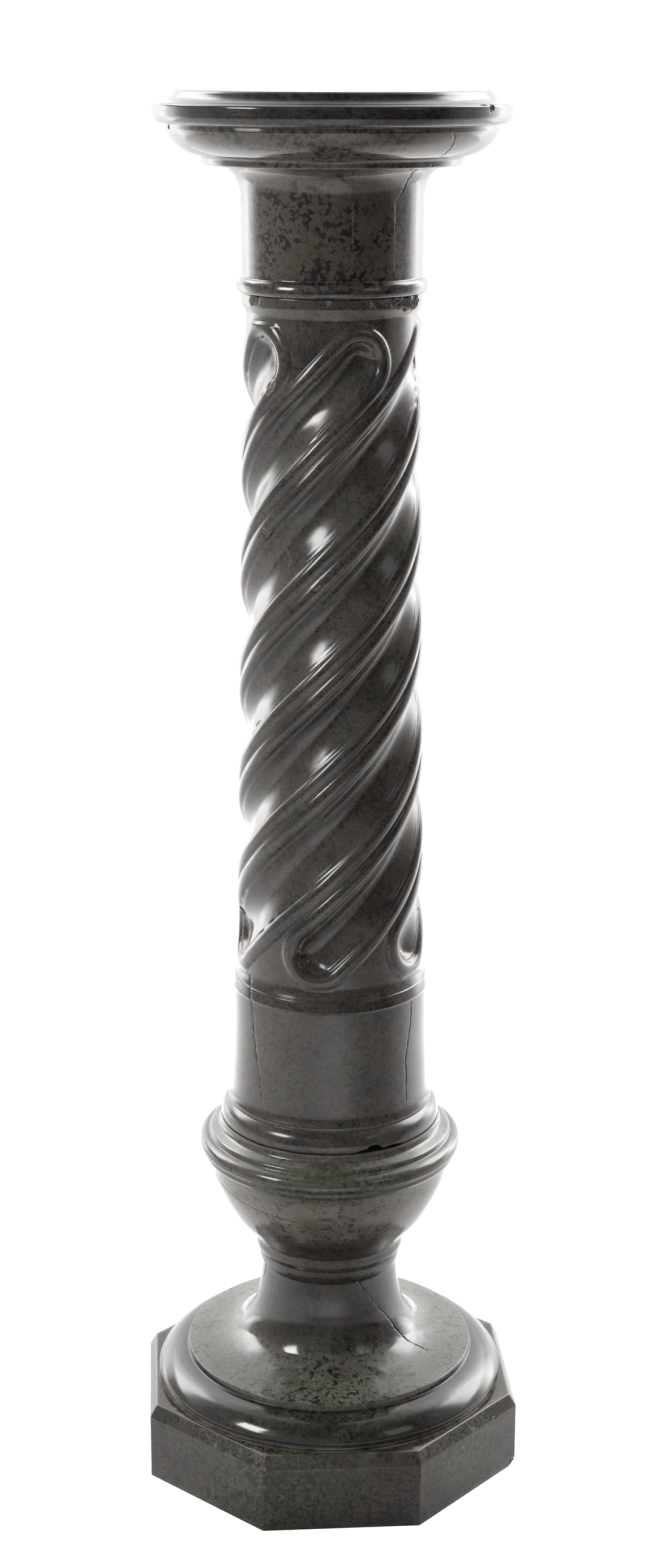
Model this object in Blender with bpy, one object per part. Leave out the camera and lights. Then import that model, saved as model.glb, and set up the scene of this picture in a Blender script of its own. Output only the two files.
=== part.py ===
"""Turned and carved marble column: plinth, foot, cup, spiral shaft and capital, in metres with +Z up."""

from math import atan2, cos, hypot, pi, radians, sin, sqrt

import bmesh
import bpy
from mathutils import Matrix

# Clear the scene
for old in list(bpy.data.objects):
    bpy.data.objects.remove(old, do_unlink=True)

# Driving sizes, stacked from the floor up
GAP = 0.0003
PLINTH_HEIGHT = 0.0635
FOOT_HEIGHT = 0.1128
CUP_HEIGHT = 0.1168
SHAFT_HEIGHT = 0.6605
CAPITAL_HEIGHT = 0.1452

PLINTH_APOTHEM = 0.1505
CHAMFER_IN = 0.0055
CHAMFER_DOWN = 0.0100
PLINTH_SIDES = 8

FOOT_RADIUS = 0.1425
DISC_RADIUS = 0.1180
WAIST_RADIUS = 0.0605
CUP_RADIUS = 0.1066
SEAT_RADIUS = 0.0882
DRUM_RADIUS = 0.0782
NECK_RADIUS = 0.0675
RIM_RADIUS = 0.1324
TOP_RADIUS = 0.1184

# Spiral carving of the shaft
LOOPS = 5
LEAD = 0.425
LAYOUT_RADIUS = 0.0705
CREST_LOW = 0.0752
CREST_HIGH = 0.0667
FIRST_GROOVE = 0.2005
GROOVE_AZIMUTH = -11.4
GROOVE_DRIFT = (0.0, 0.006, 0.002, 0.002, 0.005)
END_LOW = 0.1605
END_HIGH = 0.6125
END_TURN = 3.0
BEAD_HALF = 0.0067
GROOVE_DEPTH = 0.0026
BEAD_INNER_DEPTH = 0.0052
LIP_WIDTH = 0.0020
LIP_DEPTH = 0.0046
PANEL_EDGE_DEPTH = 0.0054
PANEL_DEPTH = 0.0092
FIELD_DEPTH = 0.0025

# Heights of the joints
FOOT_BASE = PLINTH_HEIGHT + GAP
CUP_BASE = FOOT_BASE + FOOT_HEIGHT + GAP
SHAFT_BASE = CUP_BASE + CUP_HEIGHT + GAP
CAPITAL_BASE = SHAFT_BASE + SHAFT_HEIGHT + GAP

ROUND_STEPS = 28


def arc(start, end, bow, steps):
    """Points after start of a circular arc to end; bow is its height over the chord, outward when positive."""
    if bow == 0.0 or steps < 2:
        return [end]
    dr = end[0] - start[0]
    dz = end[1] - start[1]
    half = hypot(dr, dz) / 2
    radius = (half * half + bow * bow) / (2 * abs(bow))
    reach = 2 * atan2(abs(bow), half)
    side = 1 if bow > 0 else -1
    normal = (-dz / (2 * half), dr / (2 * half))
    middle = ((start[0] + end[0]) / 2, (start[1] + end[1]) / 2)
    drop = radius - abs(bow)
    centre = (middle[0] - side * normal[0] * drop, middle[1] - side * normal[1] * drop)
    along = (dr / (2 * half), dz / (2 * half))
    points = []
    for step in range(1, steps + 1):
        turn = -reach + 2 * reach * step / steps
        a = radius * sin(turn)
        n = side * radius * cos(turn)
        points.append((centre[0] + along[0] * a + normal[0] * n, centre[1] + along[1] * a + normal[1] * n))
    return points


def outline(base, height, rows):
    """Profile from the top down; each row is radius, share of the height, bow and steps of the curve to it."""
    points = []
    for radius, share, bow, steps in rows:
        end = (radius, base + height * share)
        if points:
            points.extend(arc(points[-1], end, bow, steps))
        else:
            points.append(end)
    return points


def material(name, colour):
    made = bpy.data.materials.new(name)
    made.use_nodes = True
    shader = made.node_tree.nodes["Principled BSDF"]
    shader.inputs["Base Color"].default_value = (*colour, 1.0)
    shader.inputs["Roughness"].default_value = 0.25
    return made


def finish(name, mesh, colour, smooth=True):
    """Turns the bmesh into a named object with its own material."""
    bmesh.ops.remove_doubles(mesh, verts=mesh.verts, dist=0.000001)
    bmesh.ops.recalc_face_normals(mesh, faces=mesh.faces)
    for face in mesh.faces:
        face.smooth = smooth
    data = bpy.data.meshes.new(name)
    mesh.to_mesh(data)
    mesh.free()
    data.materials.append(material(name + "_marble", colour))
    made = bpy.data.objects.new(name, data)
    bpy.context.scene.collection.objects.link(made)
    return made


def spun(profile, steps):
    """A closed bmesh made by spinning a profile, whose first and last points are joined to the axis."""
    mesh = bmesh.new()
    path = [(0.0, profile[0][1])] + list(profile) + [(0.0, profile[-1][1])]
    verts = [mesh.verts.new((radius, 0.0, height)) for radius, height in path]
    edges = [mesh.edges.new(pair) for pair in zip(verts, verts[1:])]
    bmesh.ops.spin(
        mesh,
        geom=verts + edges,
        cent=(0.0, 0.0, 0.0),
        axis=(0.0, 0.0, 1.0),
        angle=2 * pi,
        steps=steps,
        use_merge=True,
        use_duplicate=False,
    )
    bmesh.ops.remove_doubles(mesh, verts=mesh.verts, dist=0.000001)
    return mesh


def turned(name, profile, colour):
    """A piece turned round the axis."""
    return finish(name, spun(profile, ROUND_STEPS), colour)


# Plinth: regular octagon with one flat side towards -Y and a steep chamfer round the top
def plinth():
    mesh = bmesh.new()
    straight = PLINTH_HEIGHT - CHAMFER_DOWN
    corner = PLINTH_APOTHEM / cos(pi / PLINTH_SIDES)
    bmesh.ops.create_cone(
        mesh,
        cap_ends=True,
        segments=PLINTH_SIDES,
        radius1=corner,
        radius2=corner,
        depth=straight,
        matrix=Matrix.Translation((0.0, 0.0, straight / 2)) @ Matrix.Rotation(pi / PLINTH_SIDES, 4, "Z"),
    )
    mesh.faces.ensure_lookup_table()
    top = max(mesh.faces, key=lambda face: face.calc_center_median().z)
    bmesh.ops.inset_region(mesh, faces=[top], thickness=CHAMFER_IN, depth=CHAMFER_DOWN, use_even_offset=True)
    return finish("plinth", mesh, (0.075, 0.070, 0.055), smooth=False)


# Foot: narrow band, waisted neck, disc edge, torus and fillet
def foot():
    waist = WAIST_RADIUS
    rows = (
        (waist - 0.0024, 1.000, 0.0, 1),
        (waist - 0.0036, 0.920, 0.0, 1),
        (waist - 0.0048, 0.905, 0.0, 1),
        (waist - 0.0020, 0.640, -0.0022, 3),
        (waist + 0.0175, 0.350, -0.0055, 4),
        (DISC_RADIUS - 0.0005, 0.246, -0.0030, 3),
        (DISC_RADIUS, 0.205, 0.0, 1),
        (DISC_RADIUS - 0.0006, 0.197, 0.0, 1),
        (FOOT_RADIUS, 0.062, 0.0052, 5),
        (FOOT_RADIUS - 0.0032, 0.034, 0.0, 1),
        (FOOT_RADIUS - 0.0022, 0.018, 0.0, 1),
        (FOOT_RADIUS - 0.0020, 0.000, 0.0, 1),
    )
    return turned("foot", outline(FOOT_BASE, FOOT_HEIGHT, rows), (0.080, 0.078, 0.058))


# Cup: ogee, torus, fillet, bowl and bead
def cup():
    rows = (
        (SEAT_RADIUS + 0.0002, 1.000, 0.0, 1),
        (SEAT_RADIUS + 0.0036, 0.939, -0.0010, 2),
        (CUP_RADIUS - 0.0082, 0.893, 0.0010, 2),
        (CUP_RADIUS, 0.812, 0.0018, 3),
        (CUP_RADIUS - 0.0006, 0.797, 0.0, 1),
        (CUP_RADIUS - 0.0032, 0.762, 0.0, 1),
        (CUP_RADIUS - 0.0086, 0.652, 0.0, 1),
        (WAIST_RADIUS + 0.0004, 0.092, 0.0098, 5),
        (WAIST_RADIUS, 0.050, 0.0006, 2),
        (WAIST_RADIUS - 0.0014, 0.000, 0.0, 1),
    )
    return turned("cup", outline(CUP_BASE, CUP_HEIGHT, rows), (0.078, 0.074, 0.058))


# Capital: slab, rim band, ovolo, fillet, flared neck and astragal
def capital():
    neck = NECK_RADIUS
    rows = (
        (TOP_RADIUS - 0.0012, 1.000, 0.0, 1),
        (TOP_RADIUS + 0.0008, 0.990, 0.0, 1),
        (TOP_RADIUS + 0.0054, 0.950, 0.0, 1),
        (RIM_RADIUS - 0.0025, 0.940, 0.0, 1),
        (RIM_RADIUS, 0.918, 0.0, 1),
        (RIM_RADIUS, 0.868, 0.0, 1),
        (RIM_RADIUS - 0.0030, 0.848, 0.0, 1),
        (RIM_RADIUS - 0.0092, 0.840, 0.0, 1),
        (RIM_RADIUS - 0.0095, 0.816, 0.0, 1),
        (RIM_RADIUS - 0.0360, 0.676, 0.0085, 4),
        (RIM_RADIUS - 0.0366, 0.642, 0.0, 1),
        (neck + 0.0160, 0.630, 0.0, 1),
        (neck + 0.0004, 0.440, -0.0062, 4),
        (neck, 0.104, 0.0, 1),
        (neck + 0.0018, 0.096, 0.0, 1),
        (neck + 0.0020, 0.000, 0.0034, 3),
    )
    return turned("capital", outline(CAPITAL_BASE, CAPITAL_HEIGHT, rows), (0.082, 0.074, 0.060))


# Carved surface of the shaft, as a radius for an azimuth and a height over its base
PITCH = atan2(LEAD, 2 * pi * LAYOUT_RADIUS)
LOOP_HALF = LEAD / LOOPS / 2 * cos(PITCH)


def groove_height(index):
    turns, rib = divmod(index, LOOPS)
    return FIRST_GROOVE + LEAD * (turns + rib / LOOPS) + GROOVE_DRIFT[rib]


def smooth_step(low, high, value):
    share = min(1.0, max(0.0, (value - low) / (high - low)))
    return share * share * (3 - 2 * share)


def loop_distance(azimuth, height):
    """Distance from the nearest loop's middle line, scaled so that its outer edge lies at LOOP_HALF."""
    nearest = 1.0
    turn = END_TURN * smooth_step(END_HIGH - 0.06, END_HIGH, height)
    for loop in range(LOOPS):
        low = groove_height(loop)
        high = groove_height(loop + 1)
        middle = GROOVE_AZIMUTH + (height - (low + high) / 2) / LEAD * 360 + turn
        apart = (azimuth - middle + 180) % 360 - 180
        across = radians(apart) * LAYOUT_RADIUS * sin(PITCH)
        past_high = max(0.0, (height - END_HIGH + across * cos(PITCH)) / sin(PITCH))
        past_low = min(0.0, (height - END_LOW + across * cos(PITCH)) / sin(PITCH))
        scale = LOOP_HALF / ((high - low) / 2 * cos(PITCH))
        nearest = min(nearest, hypot(across, past_high + past_low) * scale)
    return nearest


def carved_depth(distance):
    """Depth under the crest of the beads."""
    inner = LOOP_HALF - 2 * BEAD_HALF
    panel = inner - LIP_WIDTH
    if distance > LOOP_HALF:
        return FIELD_DEPTH
    if distance >= inner:
        share = (distance - LOOP_HALF + BEAD_HALF) / BEAD_HALF
        depth = GROOVE_DEPTH if share > 0 else BEAD_INNER_DEPTH
        return depth * (1 - sqrt(max(0.0, 1 - share * share)))
    if distance >= panel:
        return LIP_DEPTH
    return PANEL_EDGE_DEPTH + (PANEL_DEPTH - PANEL_EDGE_DEPTH) * (1 - (distance / panel) ** 2)


# Columns of the carved grid follow the ribs: shares of one loop's width from groove to groove
BEAD_SHARE = BEAD_HALF / LOOP_HALF / 2
LIP_SHARE = LIP_WIDTH / LOOP_HALF / 2
HALF_COLUMNS = (
    0.0,
    BEAD_SHARE * 0.50,
    BEAD_SHARE,
    BEAD_SHARE * 1.55,
    BEAD_SHARE * 1.97,
    BEAD_SHARE * 2.03 + LIP_SHARE,
)


def column_azimuths(height):
    azimuths = []
    shares = HALF_COLUMNS + (0.5,) + tuple(1 - share for share in reversed(HALF_COLUMNS[1:]))
    for loop in range(LOOPS - 1, -1, -1):
        right = GROOVE_AZIMUTH + (height - groove_height(loop)) / LEAD * 360
        left = GROOVE_AZIMUTH + (height - groove_height(loop + 1)) / LEAD * 360
        azimuths.extend(left + (right - left) * share for share in shares)
    return azimuths


CARVE_LOW = 0.1322
CARVE_HIGH = SHAFT_HEIGHT - 0.0185
END_ROWS = 10
MIDDLE_ROWS = 16


def crest_radius(height):
    share = (height - CARVE_LOW) / (CARVE_HIGH - CARVE_LOW)
    return CREST_LOW + (CREST_HIGH - CREST_LOW) * share


def rows_between(high, low, steps):
    return [high + (low - high) * step / steps for step in range(1, steps)]


# Shaft: collar, cavetto, spiral loops, ledge, drum and base beads
def shaft():
    above = outline(SHAFT_BASE, 1.0, (
        (NECK_RADIUS - 0.0006, SHAFT_HEIGHT, 0.0, 1),
        (NECK_RADIUS, SHAFT_HEIGHT - 0.0008, 0.0, 1),
        (NECK_RADIUS - 0.0001, SHAFT_HEIGHT - 0.0082, 0.0, 1),
        (crest_radius(CARVE_HIGH) - FIELD_DEPTH, CARVE_HIGH, -0.0012, 2),
    ))
    below = outline(SHAFT_BASE, 1.0, (
        (crest_radius(CARVE_LOW) - FIELD_DEPTH, CARVE_LOW, 0.0, 1),
        (DRUM_RADIUS - 0.0032, 0.1242, 0.0, 1),
        (DRUM_RADIUS, 0.1155, 0.0010, 2),
        (DRUM_RADIUS - 0.0007, 0.1115, 0.0, 1),
        (DRUM_RADIUS + 0.0015, 0.0275, 0.0, 1),
        (SEAT_RADIUS - 0.0058, 0.0195, 0.0, 1),
        (SEAT_RADIUS - 0.0050, 0.0165, 0.0, 1),
        (SEAT_RADIUS - 0.0006, 0.0, 0.0024, 3),
    ))
    high = END_HIGH - 0.030
    low = END_LOW + 0.032
    heights = rows_between(CARVE_HIGH, high, END_ROWS) + [high]
    heights += rows_between(high, low, MIDDLE_ROWS) + [low]
    heights += rows_between(low, CARVE_LOW, END_ROWS)
    carved = [(crest_radius(height), SHAFT_BASE + height) for height in heights]

    columns = 12 * LOOPS
    mesh = spun(above + carved + below, columns)
    for vert in mesh.verts:
        radius = hypot(vert.co.x, vert.co.y)
        if radius < 0.001:
            continue
        height = vert.co.z - SHAFT_BASE
        column = round(atan2(vert.co.y, vert.co.x) / (2 * pi) * columns) % columns
        level = min(CARVE_HIGH, max(CARVE_LOW, height))
        azimuth = column_azimuths(level)[column]
        if CARVE_LOW + 0.00001 < height < CARVE_HIGH - 0.00001:
            radius = crest_radius(height) - carved_depth(loop_distance(azimuth, height))
        vert.co.x = radius * sin(radians(azimuth))
        vert.co.y = -radius * cos(radians(azimuth))
    return finish("shaft", mesh, (0.078, 0.070, 0.060))


plinth()
foot()
cup()
shaft()
capital()
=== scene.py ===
"""Turned and carved marble pedestal: dressed pieces, stone, studio light and camera."""

import logging
from collections.abc import Callable, Iterator, Sequence
from dataclasses import dataclass, field
from enum import Enum
from math import atan2, ceil, cos, degrees, hypot, pi, radians, sin, sqrt
from typing import Any

import bmesh
import bpy
from mathutils import Matrix, Vector, noise
from mathutils.bvhtree import BVHTree
from mathutils.kdtree import KDTree


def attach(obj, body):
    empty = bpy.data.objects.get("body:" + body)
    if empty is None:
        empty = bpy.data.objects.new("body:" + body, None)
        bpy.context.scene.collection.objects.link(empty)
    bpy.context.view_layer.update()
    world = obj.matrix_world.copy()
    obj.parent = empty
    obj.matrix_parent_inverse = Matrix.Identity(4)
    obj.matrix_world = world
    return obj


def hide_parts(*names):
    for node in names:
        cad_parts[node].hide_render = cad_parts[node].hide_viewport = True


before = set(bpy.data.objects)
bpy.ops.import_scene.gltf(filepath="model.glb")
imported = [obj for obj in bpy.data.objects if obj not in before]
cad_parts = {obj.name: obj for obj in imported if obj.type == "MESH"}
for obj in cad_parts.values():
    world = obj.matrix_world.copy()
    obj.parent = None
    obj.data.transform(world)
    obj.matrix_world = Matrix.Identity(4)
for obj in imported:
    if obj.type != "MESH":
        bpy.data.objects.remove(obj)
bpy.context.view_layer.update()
LOG = logging.getLogger("pedestal")

WORN = "worn"
REFRACTION = 1.56
FLOOR_GREY = (0.28, 0.28, 0.28, 1.0)
AIM = Vector((0.0, 0.0, 0.55))


def clamp(value: float, low: float = 0.0, high: float = 1.0) -> float:
    """The value held between low and high."""
    return min(high, max(low, value))


def smooth_step(low: float, high: float, value: float) -> float:
    """Smooth ramp from 0 at low to 1 at high."""
    share = clamp((value - low) / (high - low))
    return share * share * (3 - 2 * share)


def polar(azimuth: float, radius: float, height: float) -> Vector:
    """Point at an azimuth in degrees, counted from the viewer's side to the right."""
    turn = radians(azimuth)
    return Vector((radius * sin(turn), -radius * cos(turn), height))


def azimuth_of(point: Vector) -> float:
    """Azimuth of a point in degrees, 0 towards the viewer."""
    return degrees(atan2(point.x, -point.y))


def sway(place: Vector) -> Vector:
    """A noise vector, the same in every run."""
    return Vector([noise.noise(place + Vector((shift, -shift, shift))) for shift in (0.0, 17.3, 41.9)])


def in_order(mesh: bmesh.types.BMesh) -> None:
    """Sorts the points, edges and faces by place, so that every run has the same order."""
    count = len(mesh.verts)

    def key(item: bmesh.types.BMEdge | bmesh.types.BMFace) -> int:
        """A number that only this edge or face has, from its points' places in the order."""
        marks = sorted(vert.index for vert in item.verts)
        return (marks[0] * count + marks[1]) * count + marks[-1]

    mesh.verts.sort(key=lambda vert: vert.co.x + 1.618034 * vert.co.y + 2.718282 * vert.co.z)
    mesh.verts.index_update()
    mesh.edges.sort(key=key)
    mesh.faces.sort(key=key)
    mesh.edges.index_update()
    mesh.faces.index_update()


class Break(Enum):
    """What a broken or rubbed place looks like; the value names its point attribute."""

    RAW = "broken"
    # DARK places are painted near black: the cracks' own dark line, together with painted shade in the crack grooves
    # and broken holes.
    DARK = "crack"
    RUBBED = "rubbed"


# Shader graph helpers


def _operator(operation: str, reflected: bool = False) -> Callable[["Socket", "Socket | float"], "Socket"]:
    """A Socket method that adds one Math node.

    Args:
        operation: the node's operation.
        reflected: whether the other value comes first.

    Returns:
        The method.
    """

    def apply(first: "Socket", second: "Socket | float") -> "Socket":
        """The two values under the operation."""
        pair = (second, first) if reflected else (first, second)
        return first.maths(operation, *pair)

    return apply


class Socket:
    """A node's output with the operators that shader maths needs."""

    def __init__(self, graph: "Graph", link: bpy.types.NodeSocket) -> None:
        """Wraps an output socket of a graph."""
        self.graph = graph
        self.link = link

    def maths(self, operation: str, *values: "Socket | float") -> "Socket":
        """Adds a Math node and returns its output."""
        return self.graph.node("ShaderNodeMath", {"operation": operation}, dict(enumerate(values)))

    __add__, __radd__ = _operator("ADD"), _operator("ADD", True)
    __sub__, __rsub__ = _operator("SUBTRACT"), _operator("SUBTRACT", True)
    __mul__, __rmul__ = _operator("MULTIPLY"), _operator("MULTIPLY", True)

    def step(self, low: float, high: float) -> "Socket":
        """Smooth ramp from 0 at low to 1 at high."""
        settings = {"interpolation_type": "SMOOTHSTEP"}
        return self.graph.node(
            "ShaderNodeMapRange", settings, {"Value": self, "From Min": low, "From Max": high}, "Result"
        )

    def most(self, other: "Socket | float") -> "Socket":
        """The greater of two values."""
        return self.maths("MAXIMUM", self, other)

    def to(self, other: "Socket | float", share: "Socket") -> "Socket":
        """This value, going over to another as the share rises from 0 to 1."""
        return self * (1 - share) + share * other

    def size(self) -> "Socket":
        """The value without its sign."""
        return self.maths("ABSOLUTE", self)

    def turn(self, other: "Socket") -> "Socket":
        """The angle of a point, in radians."""
        return self.maths("ARCTAN2", self, other)

    def ramp(self, stops: Sequence[tuple[float, float]]) -> "Socket":
        """A grey ramp through stops of place and value."""
        made = self.graph.node("ShaderNodeValToRGB", None, {0: self})
        stopped = made.link.node.color_ramp
        for number, (place, value) in enumerate(stops):
            stop = stopped.elements[number] if number < 2 else stopped.elements.new(place)
            stop.position = place
            stop.color = (value, value, value, 1.0)
        return made


class Graph:
    """Builds the nodes of one material or of the world."""

    def __init__(self, owner: bpy.types.Material | bpy.types.World, shader: str, place: str) -> None:
        """Starts from the owner's own shader node and a kind of coordinates."""
        owner.use_nodes = True
        self.owner = owner
        self.tree = owner.node_tree
        self.shader = self.tree.nodes[shader]
        self.place = self.node("ShaderNodeTexCoord", output=place)

    def feed(self, name: str, value: Socket) -> None:
        """Links a value to one of the shader's sockets."""
        self.tree.links.new(value.link, self.shader.inputs[name])

    def node(
        self,
        kind: str,
        settings: dict[str, Any] | None = None,
        inputs: dict[str | int, Any] | None = None,
        output: str | int = 0,
    ) -> Socket:
        """Adds a node.

        Args:
            kind: the node's type.
            settings: attributes that are set first.
            inputs: values or links of its sockets.
            output: the output that is returned.

        Returns:
            The wrapped output.
        """
        made = self.tree.nodes.new(kind)
        for name, value in (settings or {}).items():
            setattr(made, name, value)
        for name, value in (inputs or {}).items():
            if isinstance(value, Socket):
                self.tree.links.new(value.link, made.inputs[name])
            else:
                made.inputs[name].default_value = value
        return Socket(self, made.outputs[output])

    def stretched(self, scale: tuple[float, float, float], shift: float = 0.0) -> Socket:
        """Object coordinates, scaled along the axes and shifted."""
        inputs = {"Vector": self.place, "Scale": scale, "Location": (shift, shift, shift)}
        return self.node("ShaderNodeMapping", None, inputs, "Vector")

    def noise(
        self,
        scale: float,
        detail: float = 2.0,
        roughness: float = 0.5,
        warp: float = 0.0,
        place: Socket | None = None,
    ) -> Socket:
        """Fractal noise between 0 and 1."""
        inputs = {
            "Vector": place or self.place,
            "Scale": scale,
            "Detail": detail,
            "Roughness": roughness,
            "Distortion": warp,
        }
        return self.node("ShaderNodeTexNoise", None, inputs, "Fac")

    def attribute(self, name: str) -> Socket:
        """A value kept on the mesh's points."""
        return self.node("ShaderNodeAttribute", {"attribute_name": name}, None, "Fac")

    def mix(self, share: Socket | float, first: Any, second: Any) -> Socket:
        """Colour mix."""
        settings = {"data_type": "RGBA"}
        inputs = {0: share, 6: colour(first), 7: colour(second)}
        return self.node("ShaderNodeMix", settings, inputs, 2)

    def near(self, point: Sequence[float], reach: float, spread: float = 0.35) -> Socket:
        """1 at a point, fading out at reach with a ragged edge."""
        away = self.node(
            "ShaderNodeVectorMath", {"operation": "DISTANCE"}, {0: self.place, 1: tuple(point)}, "Value"
        )
        ragged = away * (1 / reach) + (self.noise(30.0, 4.0) - 0.5) * spread * 2
        return 1 - ragged.step(0.35, 1.0)

    def axis(self, name: str) -> Socket:
        """One coordinate of the place."""
        return self.node("ShaderNodeSeparateXYZ", None, {0: self.place}, name)

    def radius(self) -> Socket:
        """Distance from the column's axis."""
        flat = self.node(
            "ShaderNodeVectorMath", {"operation": "MULTIPLY"}, {0: self.place, 1: (1.0, 1.0, 0.0)}, "Vector"
        )
        return self.node("ShaderNodeVectorMath", {"operation": "LENGTH"}, {0: flat}, "Value")


def colour(value: Any) -> Any:
    """A colour with its alpha, or the socket as it is."""
    return value if isinstance(value, Socket) else (*value, 1.0)


def material_graph(name: str) -> Graph:
    """A new material's graph on object coordinates."""
    return Graph(bpy.data.materials.new(name), "Principled BSDF", "Object")


@dataclass(frozen=True)
class Stain:
    """A small coloured spot at a place."""

    place: tuple[float, float, float]
    reach: float
    tint: tuple[float, float, float]


@dataclass(frozen=True)
class Seam:
    """A line of pale dirt round a joint, with its radius, height and width."""

    radius: float
    height: float
    width: float
    tint: tuple[float, float, float] = (0.21, 0.18, 0.145)

    def lay(self, graph: Graph, stone: Socket) -> Socket:
        """Lays the dirt over a stone, here thick and there thin."""
        away = graph.radius() - self.radius
        up = graph.axis("Z") - self.height
        near = 1 - (away * away + up * up).step(0.0, self.width * self.width)
        patchy = graph.noise(60.0, 4.0, 0.7).step(0.25, 0.65)
        return graph.mix(near * patchy * 0.75, stone, self.tint)


@dataclass(frozen=True)
class Zone:
    """A paler or darker belt between two heights, uneven in strength."""

    low: float
    high: float
    amount: float
    tint: tuple[float, float, float] = (0.150, 0.148, 0.122)
    edge: float = 0.004

    def lay(self, graph: Graph, stone: Socket) -> Socket:
        """Lays the belt's tint over a stone."""
        height = graph.axis("Z")
        inside = height.step(self.low, self.low + self.edge) * (1 - height.step(self.high - self.edge, self.high))
        uneven = graph.noise(45.0, 5.0, 0.65).step(0.30, 0.66)
        return graph.mix(inside * (uneven * 0.6 + 0.4) * self.amount, stone, self.tint)


@dataclass(frozen=True)
class Marble:
    """Polished dark serpentine marble."""

    name: str
    ground: tuple[float, float, float] = (0.0170, 0.0130, 0.0110)
    cloud: tuple[float, float, float] = (0.056, 0.047, 0.040)
    veil: tuple[float, float, float] = (0.0420, 0.0390, 0.0270)
    red: tuple[float, float, float] = (0.034, 0.0135, 0.0120)
    blue: tuple[float, float, float] = (0.0035, 0.0050, 0.0075)
    olive: tuple[float, float, float] = (0.0480, 0.0480, 0.0300)
    blotches: float = 0.8
    cover: float = 0.0
    redness: float = 0.5
    zones: tuple[Zone, ...] = ()
    seams: tuple[Seam, ...] = ()
    olive_near: tuple[tuple[float, float, float, float], ...] = ()
    stains: tuple[Stain, ...] = ()
    speckle: float = 0.75
    roughness: float = 0.13
    lathe: float = 1.0

    def make(self) -> bpy.types.Material:
        """Builds the material.

        Returns:
            The finished material.
        """
        graph = material_graph(self.name)
        stone = self.greened(graph, self.clouded(graph))
        for zone in self.zones:
            stone = zone.lay(graph, stone)
        stone = self.blotched(graph, stone)
        for stain in self.stains:
            stone = graph.mix(graph.near(stain.place, stain.reach) * 0.8, stone, stain.tint)
        broken = graph.attribute(Break.RAW.value)
        crack = graph.attribute(Break.DARK.value)
        worn = graph.attribute(WORN)
        rubbed = graph.attribute(Break.RUBBED.value)
        stone = graph.mix(worn * 0.6, stone, (0.16, 0.15, 0.13))
        stone = graph.mix(rubbed * 0.45, stone, (0.015, 0.013, 0.011))
        raw = graph.mix(graph.noise(420.0, 4.0, 0.7).step(0.3, 0.75), (0.018, 0.013, 0.010), (0.22, 0.18, 0.155))
        stone = graph.mix(broken.step(0.05, 0.45) * 0.9, stone, raw)
        # Near-black colour: the cracks' dark line together with painted shade in the grooves and holes.
        stone = graph.mix(crack.step(0.25, 0.65) * 0.95, stone, (0.004, 0.003, 0.002))
        for seam in self.seams:
            stone = seam.lay(graph, stone)
        graph.feed("Base Color", stone)
        smears = graph.noise(14.0, 4.0, 0.6, 0.0, graph.stretched((1, 1, 3), 1.7)).step(0.40, 0.75)
        scratches = graph.noise(1.0, 4.0, 0.8, 0.0, graph.stretched((30.0, 30.0, 1300.0), 0.9)).step(0.52, 0.68)
        gloss = self.roughness + smears * 0.08 + scratches * (0.05 * self.lathe)
        gloss = gloss + worn * 0.2 + crack * 0.3 + rubbed * 0.25
        graph.feed("Roughness", gloss + broken.step(0.02, 0.4) * 0.5)
        self.relief(graph, broken)
        graph.shader.inputs["IOR"].default_value = REFRACTION
        return graph.owner

    def clouded(self, graph: Graph) -> Socket:
        """Clouded ground with fine grain, olive veils and wine-red patches."""
        tone = graph.noise(26.0, 8.0, 0.72)
        stone = graph.mix(tone.step(0.36, 0.62), self.ground, self.cloud)
        veil = graph.noise(31.0, 5.0, 0.65, 0.2).step(0.48, 0.60)
        stone = graph.mix(veil * 0.6, stone, self.veil)
        grain = graph.noise(520.0, 5.0, 0.72)
        stone = graph.mix(grain.step(0.47, 0.62) * 0.5, stone, (0.078, 0.068, 0.057))
        pits = graph.noise(640.0, 4.0, 0.7, 0.0, graph.stretched((1, 1, 1), 5.3))
        stone = graph.mix(pits.step(0.50, 0.62) * 0.55, stone, (0.009, 0.0085, 0.008))
        rust = graph.noise(52.0, 5.0, 0.65).step(0.52, 0.61) * self.redness
        stone = graph.mix(rust, stone, self.red)
        vein = 1 - (graph.noise(13.0, 5.0, 0.6, 0.8) - 0.5).size().step(0.0, 0.006)
        broken_up = graph.noise(22.0, 3.0, 0.6, 0.0, graph.stretched((1, 1, 1), 8.1)).step(0.50, 0.62)
        stone = graph.mix(vein * broken_up * 0.45, stone, (0.105, 0.092, 0.072))
        return stone

    def blotched(self, graph: Graph, stone: Socket) -> Socket:
        """Blue-black blotches in clusters, with small flecks between them."""
        limit = 0.585 - 0.020 * self.cover
        clusters = graph.noise(38.0, 2.0, 0.5, 0.2).step(0.36, 0.50)
        large = graph.noise(205.0, 1.6, 0.5).step(limit - 0.010, limit + 0.045)
        small = graph.noise(340.0, 2.0, 0.5).step(limit + 0.010, limit + 0.065)
        stone = graph.mix(clusters * large * self.blotches, stone, self.blue)
        return graph.mix(small * (clusters * 0.5 + 0.5) * self.speckle, stone, self.blue)

    def greened(self, graph: Graph, stone: Socket) -> Socket:
        """Olive patches with dark and pale speckle."""
        green: Socket | None = None
        for x, y, z, reach in self.olive_near:
            patch = graph.near((x, y, z), reach, 0.5)
            green = patch if green is None else green.most(patch)
        if green is None:
            return stone
        stone = graph.mix(green * 0.6, stone, self.olive)
        pale = graph.noise(230.0, 6.0, 0.75, 0.0, graph.stretched((1, 1, 1), 3.1)).step(0.50, 0.60)
        stone = graph.mix(green * pale * 0.75, stone, (0.100, 0.102, 0.072))
        flecks = graph.noise(270.0, 3.0, 0.6).step(0.54, 0.62)
        return graph.mix(green * flecks * 0.85, stone, (0.008, 0.009, 0.008))

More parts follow.
